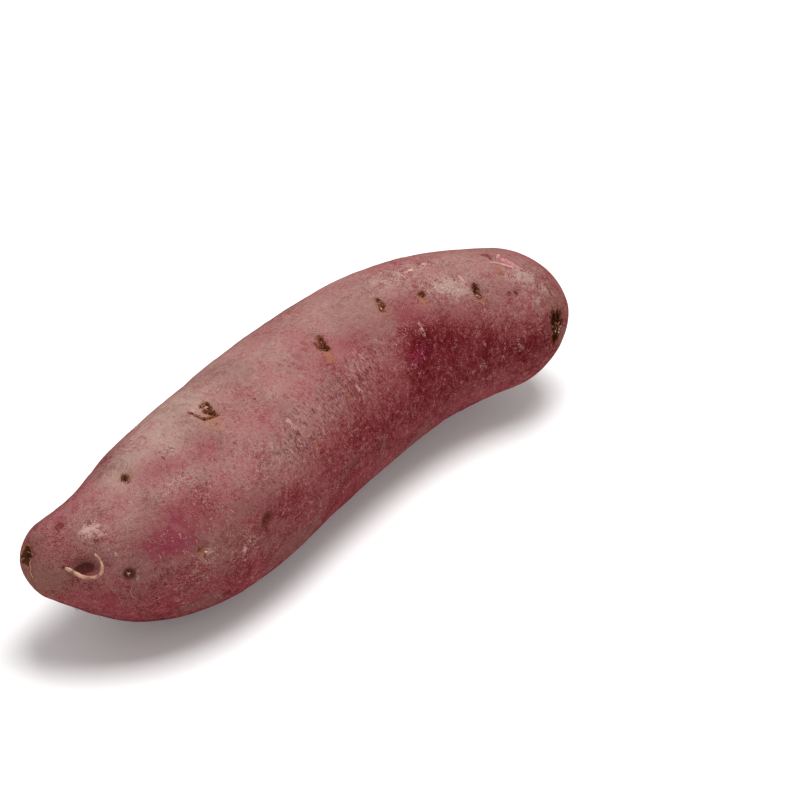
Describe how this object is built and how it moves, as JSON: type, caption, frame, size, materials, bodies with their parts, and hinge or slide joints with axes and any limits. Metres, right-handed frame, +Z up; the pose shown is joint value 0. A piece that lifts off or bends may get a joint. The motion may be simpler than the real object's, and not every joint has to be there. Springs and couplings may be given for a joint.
{
  "type": "sweet potato",
  "caption": "Long whole sweet potato with dusty rose-purple skin, bent sideways, tapering to a root tip with a curled rootlet, blunt at the stem scar; lies on its belly.",
  "frame": {"origin": "on the ground under the middle of the outline, as it lies", "axes": "+X from the root tip to the stem end, +Z up, +Y to the side that its bend leans to"},
  "size_m": [0.213, 0.0902, 0.0588],
  "materials": {
    "skin": "dry matt skin, dusty rose-purple over magenta"
  },
  "bodies": {
    "root": {"sweet_potato": "skin"}
  },
  "joints": []
}
